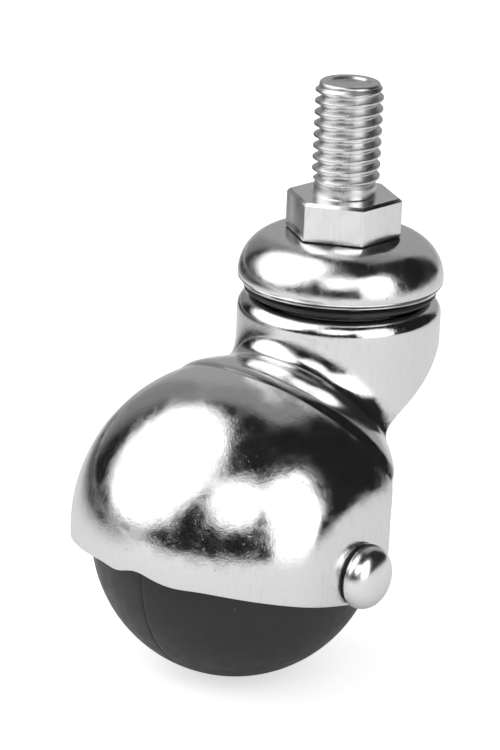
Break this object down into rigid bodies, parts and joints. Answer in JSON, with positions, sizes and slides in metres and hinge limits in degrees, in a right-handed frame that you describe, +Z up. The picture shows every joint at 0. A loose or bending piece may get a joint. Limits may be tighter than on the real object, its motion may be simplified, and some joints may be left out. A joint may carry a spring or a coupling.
{
  "type": "hooded ball castor",
  "caption": "Swivelling castor with a threaded stem and hex collar, a domed bearing cap, a drawn hood with open back and a ball wheel on a riveted axle.",
  "frame": {"origin": "centre of the hex collar's top face, where the stem is seated", "axes": "+Z up the stem along the swivel axis, +X towards the ball's side of the swivel, +Y along the ball's axle"},
  "size_m": [0.0587, 0.0504, 0.0805],
  "materials": {
    "stem_steel": "bright zinc plate on turned steel",
    "cap_chrome": "bright chrome plate on pressed steel",
    "hood_chrome": "bright chrome plate on drawn steel",
    "race_steel": "zinc-plated steel",
    "bearing_steel": "ground steel balls",
    "rivet_steel": "bright nickel plate",
    "ball_rubber": "satin black, moulded"
  },
  "bodies": {
    "stem": {"threaded_stem": "stem_steel", "swivel_cap": "cap_chrome", "cap_ring": "cap_chrome", "lower_race": "race_steel"},
    "fork": {"hood": "hood_chrome", "axle_rivet": "rivet_steel", "axle_sleeve": "race_steel"},
    "wheel": {"ball_wheel": "ball_rubber"},
    "upper_row": {"upper_ball_1": "bearing_steel", "upper_ball_2": "bearing_steel", "upper_ball_3": "bearing_steel", "upper_ball_4": "bearing_steel", "upper_ball_5": "bearing_steel", "upper_ball_6": "bearing_steel", "upper_ball_7": "bearing_steel", "upper_ball_8": "bearing_steel", "upper_ball_9": "bearing_steel", "upper_ball_10": "bearing_steel", "upper_ball_11": "bearing_steel", "upper_ball_12": "bearing_steel", "upper_ball_13": "bearing_steel", "upper_ball_14": "bearing_steel"},
    "lower_row": {"lower_ball_1": "bearing_steel", "lower_ball_2": "bearing_steel", "lower_ball_3": "bearing_steel", "lower_ball_4": "bearing_steel", "lower_ball_5": "bearing_steel", "lower_ball_6": "bearing_steel", "lower_ball_7": "bearing_steel", "lower_ball_8": "bearing_steel", "lower_ball_9": "bearing_steel", "lower_ball_10": "bearing_steel"}
  },
  "joints": [
    {"name": "swivel", "type": "hinge", "parent": "stem", "child": "fork", "pos_m": [0, 0, -0.0092], "axis": [0, 0, 1], "continuous": true},
    {"name": "wheel_spin", "type": "hinge", "parent": "fork", "child": "wheel", "pos_m": [0.0216, 0, -0.0445], "axis": [0, 1, 0], "continuous": true},
    {"name": "upper_row_turn", "type": "hinge", "parent": "stem", "child": "upper_row", "pos_m": [0, 0, -0.0098], "axis": [0, 0, 1], "continuous": true},
    {"name": "lower_row_turn", "type": "hinge", "parent": "stem", "child": "lower_row", "pos_m": [0, 0, -0.0117], "axis": [0, 0, 1], "continuous": true}
  ],
  "couplings": [
    {"joint": "upper_row_turn", "follows": "swivel", "ratio": 0.5},
    {"joint": "lower_row_turn", "follows": "swivel", "ratio": 0.5}
  ]
}
